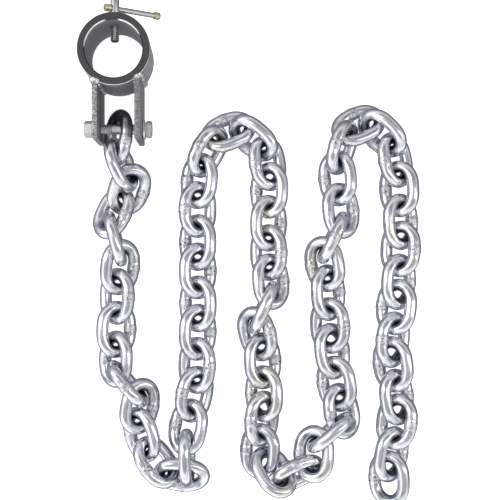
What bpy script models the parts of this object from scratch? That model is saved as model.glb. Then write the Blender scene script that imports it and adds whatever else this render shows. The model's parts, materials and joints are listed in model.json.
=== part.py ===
"""Short-link steel chain with a clamp collar for a bar, laid in five columns.

One length of welded chain lies folded on a level floor. Its first link hangs
on a bolt between the two lugs of a steel collar, which lies on its rear face.
The chain's course is drawn as one row of places for the links; the links are
then seated, so that each lies on the floor or on its neighbours.
"""
import math

import bmesh
import bpy
import numpy as np
from mathutils import Matrix, Vector

MM = 0.001

# Chain
WIRE_DIAMETER = 12 * MM
LINK_INNER_LENGTH = 31 * MM
LINK_OUTER_WIDTH = 40 * MM
LINK_COUNT = 66
CROWN_STEPS = 6
LEAN = 32
CLEARANCE = 0.3 * MM
PAIR_PITCH = LINK_INNER_LENGTH + CLEARANCE

# Collar
BORE_DIAMETER = 52 * MM
RING_WALL = 7 * MM
RING_LENGTH = 60 * MM
RING_CHAMFER = 1 * MM
RING_X = -73 * MM
RING_Y = 181 * MM
LUG_THICKNESS = 5.5 * MM
LUG_GAP = 33 * MM
LUG_MIDDLE_X = -70.7 * MM
LUG_END_Y = 100 * MM
LUG_BEVEL = 1.5 * MM

# Bolt through the lugs
BOLT_DIAMETER = 9.5 * MM
BOLT_Y = 112 * MM
BOLT_Z = RING_LENGTH / 2
HEX_ACROSS_FLATS = 14.3 * MM
BOLT_HEAD_THICKNESS = 5.8 * MM
NUT_THICKNESS = 8.5 * MM
NUT_STANDOFF = 1.6 * MM
WASHER_DIAMETER = 19 * MM
WASHER_THICKNESS = 1.8 * MM
WASHER_TILT = 2

# Clamp screw and its sliding bar
SCREW_DIAMETER = 8.5 * MM
SCREW_X = -74.7 * MM
SCREW_TIP_Y = 193.4 * MM
SCREW_TOP_Y = 235 * MM
SCREW_TIP_CHAMFER = 1.5 * MM
BAR_Y = 224.5 * MM
BAR_DIAMETER = 5 * MM
BAR_SLOPE = 33.5
BAR_LONG_SIDE = 45 * MM
CAP_DIAMETER = 7 * MM
CAP_LENGTH = 6 * MM
CAP_DEPTH = 4 * MM

RING_INNER = BORE_DIAMETER / 2
RING_OUTER = RING_INNER + RING_WALL
WIRE_RADIUS = WIRE_DIAMETER / 2
CROWN_RADIUS = (LINK_OUTER_WIDTH - WIRE_DIAMETER) / 2
HALF_STRAIGHT = (LINK_INNER_LENGTH + WIRE_DIAMETER) / 2 - CROWN_RADIUS
BOLT_RADIUS = BOLT_DIAMETER / 2
SCREW_RADIUS = SCREW_DIAMETER / 2
BAR_RADIUS = BAR_DIAMETER / 2

# Places along the course, one for each link that the loops below don't place:
# link number, x and y in millimetres, heading in degrees anticlockwise from +X
# and roll about the heading. None leaves a heading to the neighbours' chord and
# a roll to the even lean from side to side.
PLACES = (
    (1, -69.5, 102.8, -76, 58), (2, -71, 85, -80, -80), (3, -64.4, 62.3, -98, -2), (4, -79, 38, -110, 42),
    (5, -77, 11, -66, 100), (6, -71, -17, -98, -22), (7, -74, -47, None, LEAN), (9, -77, -107, -90, None),
    (10, -62, -130, -44, 93), (11, -53, -149, -105, -27), (12, -51, -177, -74, 35), (13, -38, -201, -57, -36),
    (14, -10, -213, -3, 40), (15, -9, -197, 93, 88), (16, -4, -166, None, -LEAN), (18, 2, -108, None, None),
    (24, 3, 65, None, None), (25, 10, 94, 60, None), (26, 32, 114, 21, -15), (27, 57, 108, -41, None),
    (28, 68, 83, -80, None), (29, 71, 57, None, None), (31, 69, -3, None, None), (32, 71, -31, -88, -28),
    (33, 66, -57, -109, 90), (34, 59, -83, -75, 28), (35, 63, -109, None, -LEAN), (37, 64, -161, None, None),
    (38, 68, -184, None, None), (39, 71, -209, -55, -LEAN), (40, 98, -205, 18, None), (41, 114, -193, 84, -28),
    (42, 126, -172, 44, 90), (43, 136, -155, 98, 28), (44, 133, -128, None, -LEAN), (47, 126, -45, None, None),
    (48, 122, -14, 102, -28), (49, 131, 11, 63, 90), (50, 138, 37, 93, 28), (51, 135, 67, None, -LEAN),
    (52, 139, 99, 72, None), (53, 153, 123, 28, -12), (54, 180, 113, -43, LEAN), (55, 190, 85, -80, None),
    (56, 196, 54, None, None), (58, 195, -4, None, None), (60, 191, -59, None, None), (62, 189, -112, None, None),
    (64, 190, -164, None, None), (66, 185, -213, -90, None),
)
# Links that share one solid with the next link
PAIR_STARTS = (7, 16, 18, 20, 22, 29, 35, 37, 44, 46, 50, 56, 58, 60, 62, 64)
# Links that hang from the bolt or lie on others: starting height in
# millimetres, and slope of the leading end downwards in degrees
RAISED_LINKS = {1: (28, 15), 2: (30, 34), 3: (26, 15)}
# Links of even lean that keep their drawn turn all the same
STEADIED_LINKS = {54}

# Seating of the links: height of a drawn link over the floor, distance between
# the centres of links that can meet, spacing of the points that are compared,
# and the small moves of one step
START_GAP = 1 * MM
NEAR_CENTRES = 62 * MM
COARSE_SPACING = 3 * MM
FINE_SPACING = 1.25 * MM
SINK = 0.06 * MM
PULL_TO_DRAWING = 0.02
LEAST_PUSH_SIZE = 0.25
TINY = 1e-12
SEATING_STEPS = 520
DRAWN_STEPS = 380
COARSE_STEPS = 300


def clear_scene():
    for item in list(bpy.data.objects):
        bpy.data.objects.remove(item, do_unlink=True)


def make_collection(name):
    collection = bpy.data.collections.new(name)
    bpy.context.scene.collection.children.link(collection)
    return collection


def make_material(name, colour, metallic, roughness):
    material = bpy.data.materials.new(name)
    material.use_nodes = True
    shader = material.node_tree.nodes["Principled BSDF"]
    shader.inputs["Base Color"].default_value = (*colour, 1)
    shader.inputs["Metallic"].default_value = metallic
    shader.inputs["Roughness"].default_value = roughness
    return material


# Outline and seating of the links

def crown_corners():
    """The corners of a link's wire centreline, anticlockwise in its own XY plane."""
    corners = []
    for end in (1, -1):
        for step in range(CROWN_STEPS + 1):
            angle = math.pi * step / CROWN_STEPS - math.pi / 2
            along = HALF_STRAIGHT + CROWN_RADIUS * math.cos(angle)
            corners.append((end * along, end * CROWN_RADIUS * math.sin(angle), 0))
    return np.array(corners)


def wire_points(spacing):
    """Points about this far apart along the straight sides between the corners."""
    corners = crown_corners()
    points = []
    for start, end in zip(corners, np.roll(corners, -1, axis=0)):
        count = max(1, round(np.linalg.norm(end - start) / spacing))
        points.extend(start + (end - start) * step / count for step in range(count))
    return np.array(points)


def turned(heading, pitch, roll):
    """A rotation matrix from angles in degrees; the link's length is its own X."""
    turn = (Matrix.Rotation(math.radians(heading), 3, 'Z')
            @ Matrix.Rotation(math.radians(pitch), 3, 'Y')
            @ Matrix.Rotation(math.radians(roll), 3, 'X'))
    return np.array(turn)


def small_turns(vectors):
    """Rotation matrices for rotation vectors, one for each row."""
    angle = np.linalg.norm(vectors, axis=1)
    axis = vectors / np.where(angle > TINY, angle, 1)[:, None]
    cross = np.zeros((len(vectors), 3, 3))
    cross[:, 2, 1], cross[:, 0, 2], cross[:, 1, 0] = axis.T
    cross -= cross.transpose(0, 2, 1)
    sine = np.sin(angle)[:, None, None]
    versine = (1 - np.cos(angle))[:, None, None]
    return np.eye(3) + sine * cross + versine * (cross @ cross)


def drawn_course():
    """Each link's place in metres, its heading and its roll, as drawn."""
    numbers = np.arange(1, LINK_COUNT + 1)
    known = [row[0] for row in PLACES]
    places = np.column_stack([np.interp(numbers, known, [row[column] for row in PLACES]) for column in (1, 2)])
    headings = {row[0]: row[3] for row in PLACES if row[3] is not None}
    rolls = {row[0]: row[4] for row in PLACES if row[4] is not None}
    course = []
    side = 1
    for number in numbers:
        before = places[max(number - 2, 0)]
        after = places[min(number, LINK_COUNT - 1)]
        chord = math.degrees(math.atan2(after[1] - before[1], after[0] - before[0]))
        side = math.copysign(1, rolls[number]) if abs(rolls.get(number, 0)) == LEAN else -side
        course.append((places[number - 1] * MM, headings.get(number, chord), rolls.get(number, side * LEAN)))
    held = STEADIED_LINKS.union(number for number, roll in rolls.items() if abs(roll) != LEAN)
    return course, held


class Units:
    """The solids of the chain, each one link or a pair, with their places and turns."""

    def __init__(self):
        course, held = drawn_course()
        self.names = []
        self.first_link = []
        self.unit_of = []
        self.place_in_unit = []
        self.turn_in_unit = []
        centres = []
        turns = []
        steady = []
        number = 1
        while number <= LINK_COUNT:
            place, heading, roll = course[number - 1]
            rest_height = WIRE_RADIUS + CROWN_RADIUS * abs(math.sin(math.radians(roll))) + START_GAP
            pitch = 0
            if number in PAIR_STARTS:
                other = course[number][0]
                chord = other - place
                place = (place + other) / 2
                heading = math.degrees(math.atan2(chord[1], chord[0]))
                rest_height = WIRE_RADIUS + CROWN_RADIUS * math.sin(math.radians(LEAN)) + START_GAP
                members = [(-PAIR_PITCH / 2, math.copysign(LEAN, roll)), (PAIR_PITCH / 2, -math.copysign(LEAN, roll))]
                unit_turn = turned(heading, 0, 0)
                self.names.append(f"chain_links_{number:02d}_{number + 1:02d}")
            else:
                if number in RAISED_LINKS:
                    rest_height = RAISED_LINKS[number][0] * MM
                    pitch = RAISED_LINKS[number][1]
                members = [(0, 0)]
                unit_turn = turned(heading, pitch, roll)
                self.names.append(f"chain_link_{number:02d}")
            for along, member_roll in members:
                self.unit_of.append(len(centres))
                self.place_in_unit.append((along, 0, 0))
                self.turn_in_unit.append(turned(0, 0, member_roll))
            centres.append((place[0], place[1], rest_height))
            turns.append(unit_turn)
            steady.append(number in held)
            number += len(members)
        self.unit_of = np.array(self.unit_of)
        self.place_in_unit = np.array(self.place_in_unit)
        self.turn_in_unit = np.array(self.turn_in_unit)
        self.centre = np.array(centres)
        self.turn = np.array(turns)
        self.drawn_centre = self.centre.copy()
        self.drawn_turn = self.turn.copy()
        self.steady = np.array(steady)
        self.link_place = np.array([entry[0] for entry in course])

    def own_points(self, spacing):
        points = wire_points(spacing)
        return np.einsum('kij,nj->kni', self.turn_in_unit, points) + self.place_in_unit[:, None]

    def world_points(self, own):
        return np.einsum('kij,knj->kni', self.turn[self.unit_of], own) + self.centre[self.unit_of][:, None]


class Nudges:
    """Sums the small moves that the contacts of one step ask of each unit."""

    REACH = 18 * MM
    MOST_MOVE = 1 * MM
    MOST_TURN = 0.05

    def __init__(self, units):
        self.units = units
        count = len(units.centre)
        self.shift = np.zeros((count, 3))
        self.spin = np.zeros((count, 3))
        self.hits = np.zeros(count)

    def push(self, rows, force, torque, amount):
        np.add.at(self.shift, rows, force * amount[:, None])
        np.add.at(self.spin, rows, torque * amount[:, None] / self.REACH ** 2)
        np.add.at(self.hits, rows, 1)

    def push_at(self, rows, points, normals, depth, others):
        """Moves a unit at one point along a normal by its share of the depth."""
        torque = np.cross(points - self.units.centre[rows], normals)
        size = 1 + (torque ** 2).sum(1) / self.REACH ** 2
        self.push(rows, normals, torque, depth / (size * others))

    def apply(self):
        share = 1 / np.sqrt(np.maximum(self.hits, 1))[:, None]
        self.units.centre += np.clip(self.shift * share, -self.MOST_MOVE, self.MOST_MOVE)
        self.units.turn = small_turns(np.clip(self.spin * share, -self.MOST_TURN, self.MOST_TURN)) @ self.units.turn


def near_pairs(units):
    """Pairs of links on different solids that lie near enough to meet."""
    pairs = []
    for first in range(LINK_COUNT):
        for second in range(first + 1, LINK_COUNT):
            apart = np.linalg.norm(units.link_place[first] - units.link_place[second])
            if units.unit_of[first] != units.unit_of[second] and (second == first + 1 or apart < NEAR_CENTRES):
                pairs.append((first, second))
    return np.array(pairs)


def part_links(units, nudges, world, pairs):
    """Pushes apart the wires that lie closer than their clearance."""
    first, second = world[pairs[:, 0]], world[pairs[:, 1]]
    squares = (first ** 2).sum(-1)[:, :, None] + (second ** 2).sum(-1)[:, None, :]
    distance = np.sqrt(np.maximum(squares - 2 * first @ second.transpose(0, 2, 1), TINY))
    overlap = np.maximum(WIRE_DIAMETER + CLEARANCE - distance, 0)
    deepest = overlap.max((1, 2))
    hit = np.where(deepest > 0)[0]
    first, second = first[hit], second[hit]
    weight = overlap[hit] / distance[hit] / overlap[hit].sum((1, 2))[:, None, None]
    first_push = weight.sum(2)[:, :, None] * first - weight @ second
    second_push = weight.sum(1)[:, :, None] * second - weight.transpose(0, 2, 1) @ first
    rows = [units.unit_of[pairs[hit, side]] for side in (0, 1)]
    forces = [first_push.sum(1), second_push.sum(1)]
    torques = [np.cross(points - units.centre[unit][:, None], push).sum(1)
               for points, unit, push in zip((first, second), rows, (first_push, second_push))]
    size = sum((force ** 2).sum(1) + (torque ** 2).sum(1) / Nudges.REACH ** 2
               for force, torque in zip(forces, torques)) / 2
    amount = deepest[hit] / 2 / np.maximum(size, LEAST_PUSH_SIZE)
    for unit, force, torque in zip(rows, forces, torques):
        nudges.push(unit, force, torque, amount)


def keep_on_floor(units, nudges, world):
    """Lifts the wires that dip below the floor."""
    dip = np.maximum(WIRE_RADIUS - world[:, :, 2], 0)
    low = np.where(dip.max(1) > 0)[0]
    weight = dip[low] / dip[low].sum(1)[:, None]
    points = (world[low] * weight[:, :, None]).sum(1)
    up = np.tile((0.0, 0.0, 1.0), (len(low), 1))
    nudges.push_at(units.unit_of[low], points, up, dip[low].max(1), 1)


def hang_on_bolt(units, nudges, world):
    """Keeps the first two links off the bolt and the first one in touch with it."""
    need = WIRE_RADIUS + BOLT_RADIUS + CLEARANCE
    for link in (0, 1):
        offset = world[link] - (0, BOLT_Y, BOLT_Z)
        offset[:, 0] = 0
        distance = np.linalg.norm(offset, axis=1)
        nearest = distance.argmin()
        lack = need - distance[nearest]
        if lack > 0 or (link == 0 and lack < -CLEARANCE):
            depth = lack if lack > 0 else (lack + CLEARANCE) / 2
            normal = offset[nearest] / distance[nearest]
            nudges.push_at(units.unit_of[[link]], world[link, [nearest]], normal[None], np.array([depth]), 1)


def keep_between_lugs(units, nudges, world):
    """Keeps the first two links off the inner faces of the lugs."""
    room = LUG_GAP / 2 - WIRE_RADIUS - CLEARANCE
    for link in (0, 1):
        offset = np.where(world[link, :, 1] > LUG_END_Y - WIRE_RADIUS, world[link, :, 0] - LUG_MIDDLE_X, 0)
        furthest = np.abs(offset).argmax()
        lack = abs(offset[furthest]) - room
        if lack > 0:
            inwards = np.array([[-math.copysign(1, offset[furthest]), 0, 0]])
            nudges.push_at(units.unit_of[[link]], world[link, [furthest]], inwards, np.array([lack]), 1)


def ease_towards_drawing(units):
    """Lets the units sink a little, and draws them towards their places and turns."""
    units.centre[:, :2] += PULL_TO_DRAWING * (units.drawn_centre - units.centre)[:, :2]
    units.centre[:, 2] -= SINK
    apart = units.drawn_turn @ units.turn.transpose(0, 2, 1)
    vector = 0.5 * np.stack([apart[:, 2, 1] - apart[:, 1, 2], apart[:, 0, 2] - apart[:, 2, 0],
                             apart[:, 1, 0] - apart[:, 0, 1]], 1)
    gain = np.where(units.steady[:, None], PULL_TO_DRAWING, 0) + np.array([0, 0, PULL_TO_DRAWING])
    units.turn = small_turns(vector * gain) @ units.turn


def seat_links():
    """Brings the drawn links to rest: clear of each other, on the floor and on the bolt."""
    units = Units()
    pairs = near_pairs(units)
    own = units.own_points(COARSE_SPACING)
    for step in range(SEATING_STEPS):
        if step == COARSE_STEPS:
            own = units.own_points(FINE_SPACING)
        if step < DRAWN_STEPS:
            ease_towards_drawing(units)
        for _ in range(2):
            world = units.world_points(own)
            nudges = Nudges(units)
            part_links(units, nudges, world, pairs)
            keep_on_floor(units, nudges, world)
            hang_on_bolt(units, nudges, world)
            keep_between_lugs(units, nudges, world)
            nudges.apply()
    return units


# Solids

def add_object(name, mesh, collection, material=None):
    item = bpy.data.objects.new(name, mesh)
    collection.objects.link(item)
    if material is not None:
        mesh.materials.append(material)
    mesh.shade_smooth()
    mesh.set_sharp_from_angle(angle=math.radians(40))
    return item


def add_cutter(item):
    item.hide_render = True
    item.display_type = 'WIRE'
    return item


def cylinder_mesh(name, radius, length, sides):
    shape = bmesh.new()
    bmesh.ops.create_cone(shape, cap_ends=True, segments=sides, radius1=radius, radius2=radius, depth=length)
    mesh = bpy.data.meshes.new(name)
    shape.to_mesh(mesh)
    shape.free()
    return mesh


def box_mesh(name, size):
    shape = bmesh.new()
    bmesh.ops.create_cube(shape, size=1)
    bmesh.ops.scale(shape, vec=size, verts=shape.verts)
    mesh = bpy.data.meshes.new(name)
    shape.to_mesh(mesh)
    shape.free()
    return mesh


def profile_mesh(name, outline):
    """A closed outline of radius and height, drawn at +X for a Screw modifier."""
    mesh = bpy.data.meshes.new(name)
    count = len(outline)
    mesh.from_pydata([(radius, 0, height) for radius, height in outline],
                     [(index, (index + 1) % count) for index in range(count)], [])
    return mesh


def turn_profile(item, sides):
    screw = item.modifiers.new("turn", 'SCREW')
    screw.steps = sides
    screw.render_steps = sides
    screw.use_merge_vertices = True
    screw.merge_threshold = 0.00001


def combine(item, other, operation):
    step = item.modifiers.new(operation.lower(), 'BOOLEAN')
    step.operation = operation
    step.solver = 'EXACT'
    step.object = other


def aim(item, place, heading=None):
    """Puts an object at a place, its own Z along the heading."""
    turn = Vector((0, 0, 1)).rotation_difference(Vector(heading)) if heading else Matrix.Identity(3).to_quaternion()
    item.matrix_world = Matrix.LocRotScale(Vector(place), turn, None)
    return item


def link_mesh(name):
    """One link as a mesh, from a closed curve with a round bevel."""
    curve = bpy.data.curves.new(name, 'CURVE')
    curve.dimensions = '3D'
    curve.bevel_depth = WIRE_RADIUS
    curve.bevel_resolution = 2
    corners = crown_corners()
    spline = curve.splines.new('POLY')
    spline.points.add(len(corners) - 1)
    for point, corner in zip(spline.points, corners):
        point.co = (*corner, 1)
    spline.use_cyclic_u = True
    holder = bpy.data.objects.new(name, curve)
    bpy.context.scene.collection.objects.link(holder)
    evaluated = holder.evaluated_get(bpy.context.evaluated_depsgraph_get())
    mesh = bpy.data.meshes.new_from_object(evaluated)
    bpy.data.objects.remove(holder, do_unlink=True)
    shape = bmesh.new()
    shape.from_mesh(mesh)
    bmesh.ops.remove_doubles(shape, verts=shape.verts, dist=0.000001)
    bmesh.ops.recalc_face_normals(shape, faces=shape.faces)
    shape.to_mesh(mesh)
    shape.free()
    mesh.name = name
    return mesh


def pair_mesh(single, first_roll, guides, name):
    """Two links in touch at their crowns, joined to one closed solid."""
    halves = []
    for end in (-1, 1):
        mesh = single.copy()
        mesh.transform(Matrix.Translation((end * PAIR_PITCH / 2, 0, 0))
                       @ Matrix.Rotation(-end * first_roll, 4, 'X'))
        halves.append(add_object(f"{name}_half", mesh, guides))
    combine(halves[0], halves[1], 'UNION')
    bpy.context.view_layer.update()
    evaluated = halves[0].evaluated_get(bpy.context.evaluated_depsgraph_get())
    mesh = bpy.data.meshes.new_from_object(evaluated)
    for half in halves:
        bpy.data.objects.remove(half, do_unlink=True)
    mesh.name = name
    return mesh


def build_chain(parts, guides, root):
    units = seat_links()
    steel = make_material("zinc_plated_steel", (0.72, 0.74, 0.77), 1, 0.22)
    single = link_mesh("single_link")
    lean = math.radians(LEAN)
    meshes = {0: single, 1: pair_mesh(single, lean, guides, "pair_left_first"),
              -1: pair_mesh(single, -lean, guides, "pair_right_first")}
    for mesh in meshes.values():
        mesh.materials.clear()
        mesh.materials.append(steel)
        mesh.shade_smooth()
        mesh.set_sharp_from_angle(angle=math.radians(50))
    for index, name in enumerate(units.names):
        members = np.where(units.unit_of == index)[0]
        kind = 0
        if len(members) == 2:
            kind = int(math.copysign(1, units.turn_in_unit[members[0]][2, 1]))
        item = bpy.data.objects.new(name, meshes[kind])
        parts.objects.link(item)
        left, up = units.turn[index][:, 1], units.turn[index][:, 2]
        along = np.cross(left, up)
        turn = Matrix(np.column_stack([along, left, up]).tolist()).to_quaternion().normalized()
        item.matrix_world = Matrix.LocRotScale(Vector(units.centre[index]), turn, None)
        item.parent = root


def build_ring(parts, guides, root):
    steel = make_material("dark_bare_steel", (0.10, 0.095, 0.10), 0.9, 0.45)
    outline = [(RING_OUTER, RING_LENGTH), (RING_OUTER, 0), (RING_INNER, 0),
               (RING_INNER, RING_LENGTH - RING_CHAMFER), (RING_INNER + RING_CHAMFER, RING_LENGTH)]
    ring = add_object("collar_ring", profile_mesh("collar_ring", outline), parts, steel)
    turn_profile(ring, 48)
    hole = add_object("screw_hole", cylinder_mesh("screw_hole", SCREW_RADIUS + CLEARANCE, 3 * RING_WALL, 16), guides)
    aim(add_cutter(hole), (SCREW_X, RING_Y + RING_OUTER - RING_WALL / 2, BOLT_Z), (0, 1, 0))
    combine(ring, hole, 'DIFFERENCE')
    aim(ring, (RING_X, RING_Y, 0))
    ring.parent = root
    return ring


def build_lugs(parts, guides, root):
    seat = add_object("ring_seat", cylinder_mesh("ring_seat", RING_OUTER + CLEARANCE, 2 * RING_LENGTH, 64), guides)
    aim(add_cutter(seat), (RING_X, RING_Y, RING_LENGTH / 2))
    hole = add_object("bolt_hole", cylinder_mesh("bolt_hole", BOLT_RADIUS + CLEARANCE, 2 * LUG_GAP, 20), guides)
    aim(add_cutter(hole), (LUG_MIDDLE_X, BOLT_Y, BOLT_Z), (1, 0, 0))
    length = RING_Y - RING_OUTER * 0.75 - LUG_END_Y
    for side, name in ((-1, "lug_left"), (1, "lug_right")):
        steel = make_material(f"{name}_steel", (0.16, 0.155, 0.16), 0.9, 0.5)
        lug = add_object(name, box_mesh(name, (LUG_THICKNESS, length, RING_LENGTH)), parts, steel)
        bevel = lug.modifiers.new("bevel", 'BEVEL')
        bevel.width = LUG_BEVEL
        bevel.segments = 1
        combine(lug, seat, 'DIFFERENCE')
        combine(lug, hole, 'DIFFERENCE')
        middle_x = LUG_MIDDLE_X + side * (LUG_GAP + LUG_THICKNESS) / 2
        aim(lug, (middle_x, LUG_END_Y + length / 2, RING_LENGTH / 2))
        lug.parent = root


def build_bolt(parts, guides, root):
    zinc = make_material("bolt_zinc", (0.62, 0.62, 0.60), 1, 0.35)
    right_face = LUG_MIDDLE_X + LUG_GAP / 2 + LUG_THICKNESS
    left_face = LUG_MIDDLE_X - LUG_GAP / 2 - LUG_THICKNESS
    washer_x = right_face + CLEARANCE + WASHER_THICKNESS / 2 + WASHER_DIAMETER / 2 * math.sin(math.radians(WASHER_TILT))
    head_x = 2 * washer_x - right_face + BOLT_HEAD_THICKNESS / 2
    nut_x = left_face - NUT_STANDOFF - NUT_THICKNESS / 2
    shank_end = nut_x - NUT_THICKNESS / 2
    corner_radius = HEX_ACROSS_FLATS / math.sqrt(3)
    bolt = add_object("bolt", cylinder_mesh("bolt", corner_radius, BOLT_HEAD_THICKNESS, 6), parts, zinc)
    aim(bolt, (head_x, BOLT_Y, BOLT_Z), (1, 0, 0))
    shank_length = head_x - shank_end
    shank = add_object("bolt_shank", cylinder_mesh("bolt_shank", BOLT_RADIUS, shank_length, 20), guides)
    aim(add_cutter(shank), (head_x - shank_length / 2, BOLT_Y, BOLT_Z), (1, 0, 0))
    combine(bolt, shank, 'UNION')
    bolt.parent = root

    nut = add_object("nut", cylinder_mesh("nut", corner_radius, NUT_THICKNESS, 6), parts,
                     make_material("nut_zinc", (0.66, 0.66, 0.64), 1, 0.35))
    aim(nut, (nut_x, BOLT_Y, BOLT_Z), (1, 0, 0))
    bore = add_object("nut_bore", cylinder_mesh("nut_bore", BOLT_RADIUS + CLEARANCE, 2 * NUT_THICKNESS, 20), guides)
    aim(add_cutter(bore), (nut_x, BOLT_Y, BOLT_Z), (1, 0, 0))
    combine(nut, bore, 'DIFFERENCE')
    nut.parent = root

    washer_hole = BOLT_RADIUS + CLEARANCE
    outline = [(WASHER_DIAMETER / 2, WASHER_THICKNESS / 2), (WASHER_DIAMETER / 2, -WASHER_THICKNESS / 2),
               (washer_hole, -WASHER_THICKNESS / 2), (washer_hole, WASHER_THICKNESS / 2)]
    washer = add_object("washer", profile_mesh("washer", outline), parts,
                        make_material("washer_zinc", (0.55, 0.55, 0.54), 1, 0.4))
    turn_profile(washer, 24)
    tilt = math.radians(WASHER_TILT)
    aim(washer, (washer_x, BOLT_Y, BOLT_Z), (math.cos(tilt), math.sin(tilt), 0))
    washer.parent = root


def build_clamp_screw(parts, guides, root):
    """The screw through the ring's wall, with the bar that slides in its cross hole."""
    length = SCREW_TOP_Y - SCREW_TIP_Y
    outline = [(SCREW_RADIUS, length), (SCREW_RADIUS, SCREW_TIP_CHAMFER), (SCREW_RADIUS - SCREW_TIP_CHAMFER, 0),
               (0, 0), (0, length)]
    screw = add_object("clamp_screw", profile_mesh("clamp_screw", outline), parts,
                       make_material("clamp_screw_steel", (0.55, 0.54, 0.52), 1, 0.35))
    turn_profile(screw, 20)
    aim(screw, (SCREW_X, SCREW_TIP_Y, BOLT_Z), (0, 1, 0))
    slope = math.radians(BAR_SLOPE)
    down = Vector((math.cos(slope), 0, -math.sin(slope)))
    crossing = Vector((SCREW_X, BAR_Y, BOLT_Z))
    hole = add_object("bar_hole", cylinder_mesh("bar_hole", BAR_RADIUS + CLEARANCE, 3 * SCREW_DIAMETER, 16), guides)
    aim(add_cutter(hole), crossing, down)
    combine(screw, hole, 'DIFFERENCE')
    screw.parent = root

    short_side = SCREW_RADIUS + CLEARANCE + CAP_LENGTH
    bar_start = -short_side + CAP_LENGTH - CAP_DEPTH + CLEARANCE
    bar_end = BAR_LONG_SIDE + CAP_LENGTH / 2 - (CAP_LENGTH - CAP_DEPTH) - CLEARANCE
    bar = add_object("t_bar", cylinder_mesh("t_bar", BAR_RADIUS, bar_end - bar_start, 16), parts,
                     make_material("t_bar_steel", (0.60, 0.60, 0.60), 1, 0.3))
    aim(bar, crossing + down * (bar_start + bar_end) / 2, down)
    bar.parent = root
    for name, near, away in (("t_bar_cap_left", -short_side + CAP_LENGTH, -1),
                             ("t_bar_cap_right", BAR_LONG_SIDE - CAP_LENGTH / 2, 1)):
        cap_radius = CAP_DIAMETER / 2
        bore_radius = BAR_RADIUS + CLEARANCE
        outline = [(cap_radius, CAP_LENGTH), (cap_radius, 0), (bore_radius, 0), (bore_radius, CAP_DEPTH),
                   (0, CAP_DEPTH), (0, CAP_LENGTH)]
        cap = add_object(name, profile_mesh(name, outline), parts,
                         make_material(f"{name}_zinc", (0.68, 0.66, 0.42), 1, 0.4))
        turn_profile(cap, 16)
        aim(cap, crossing + down * near, down * away)
        cap.parent = root


def centre_on_floor(parts, root):
    """Moves the whole object so that its box stands centred on the origin."""
    bpy.context.view_layer.update()
    graph = bpy.context.evaluated_depsgraph_get()
    corners = []
    for item in parts.objects:
        solid = item.evaluated_get(graph)
        mesh = solid.to_mesh()
        corners.extend(solid.matrix_world @ vertex.co for vertex in mesh.vertices)
        solid.to_mesh_clear()
    low = Vector(min(corner[axis] for corner in corners) for axis in range(3))
    high = Vector(max(corner[axis] for corner in corners) for axis in range(3))
    root.location = (-(low.x + high.x) / 2, -(low.y + high.y) / 2, -low.z)


def main():
    clear_scene()
    parts = make_collection("chain_with_collar")
    guides = make_collection("cutters")
    root = bpy.data.objects.new("layout_origin", None)
    bpy.context.scene.collection.objects.link(root)
    build_chain(parts, guides, root)
    build_ring(parts, guides, root)
    build_lugs(parts, guides, root)
    build_bolt(parts, guides, root)
    build_clamp_screw(parts, guides, root)
    centre_on_floor(parts, root)
    for cutter in guides.objects:
        cutter.parent = root


main()
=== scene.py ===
"""Looks of the steel chain and its bar collar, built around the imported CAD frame.

The chain's links, the collar, the bolt and the clamp screw with its bar are
rebuilt with round wire, threads, weld beads and finishes, each in the place
that its CAD solid has.
"""
import json
import math

import bmesh
import bpy
import numpy as np
from bpy.props import FloatProperty, FloatVectorProperty, IntProperty, PointerProperty
from mathutils import Matrix, Vector


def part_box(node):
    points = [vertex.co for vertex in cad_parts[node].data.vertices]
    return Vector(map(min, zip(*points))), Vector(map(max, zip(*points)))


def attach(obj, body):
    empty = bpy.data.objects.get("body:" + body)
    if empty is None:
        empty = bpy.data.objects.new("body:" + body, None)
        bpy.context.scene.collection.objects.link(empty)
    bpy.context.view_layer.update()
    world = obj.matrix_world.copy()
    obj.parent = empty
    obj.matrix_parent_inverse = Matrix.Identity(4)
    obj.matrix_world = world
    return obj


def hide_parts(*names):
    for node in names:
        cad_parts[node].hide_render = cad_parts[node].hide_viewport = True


bl_info = {
    "name": "Steel Chain With Bar Collar",
    "version": (1, 0, 0),
    "blender": (4, 5, 0),
    "location": "View3D > Sidebar > Chain",
    "description": "Builds the looks of a laid-out steel chain that hangs on a bar collar",
    "category": "Add Mesh",
}

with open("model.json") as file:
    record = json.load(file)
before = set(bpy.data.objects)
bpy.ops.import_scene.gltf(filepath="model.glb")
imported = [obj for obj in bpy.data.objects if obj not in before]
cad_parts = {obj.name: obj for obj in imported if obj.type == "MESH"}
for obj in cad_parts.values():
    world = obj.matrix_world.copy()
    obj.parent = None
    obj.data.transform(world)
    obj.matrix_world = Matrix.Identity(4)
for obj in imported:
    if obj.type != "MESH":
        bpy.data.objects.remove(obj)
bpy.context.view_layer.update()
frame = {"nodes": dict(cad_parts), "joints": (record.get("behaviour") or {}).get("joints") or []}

MM = 0.001
RIGHT = Vector((1, 0, 0))
UP = Vector((0, 0, 1))
NODE_SPACING = 220

# Links: their lean, the last one of each run, and parts of the wire, the width and the weld that marks and
# painted shade cover
LINK_LEAN = math.radians(32)
RUN_ENDS = (14, 26, 40, 54, 66)
CROWN_STEPS = 24
RUBBED_AND_SHADED_DEPTH = (0.3, 0.7)
RUBBED_AND_SHADED_WIDTH = (0.22, 0.42)
WELD_FADE = (0.3, 0.6)
WELD_GRAIN = 380.0
BOLT_SHADE_SPAN = (-5 * MM, 3 * MM)
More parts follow.
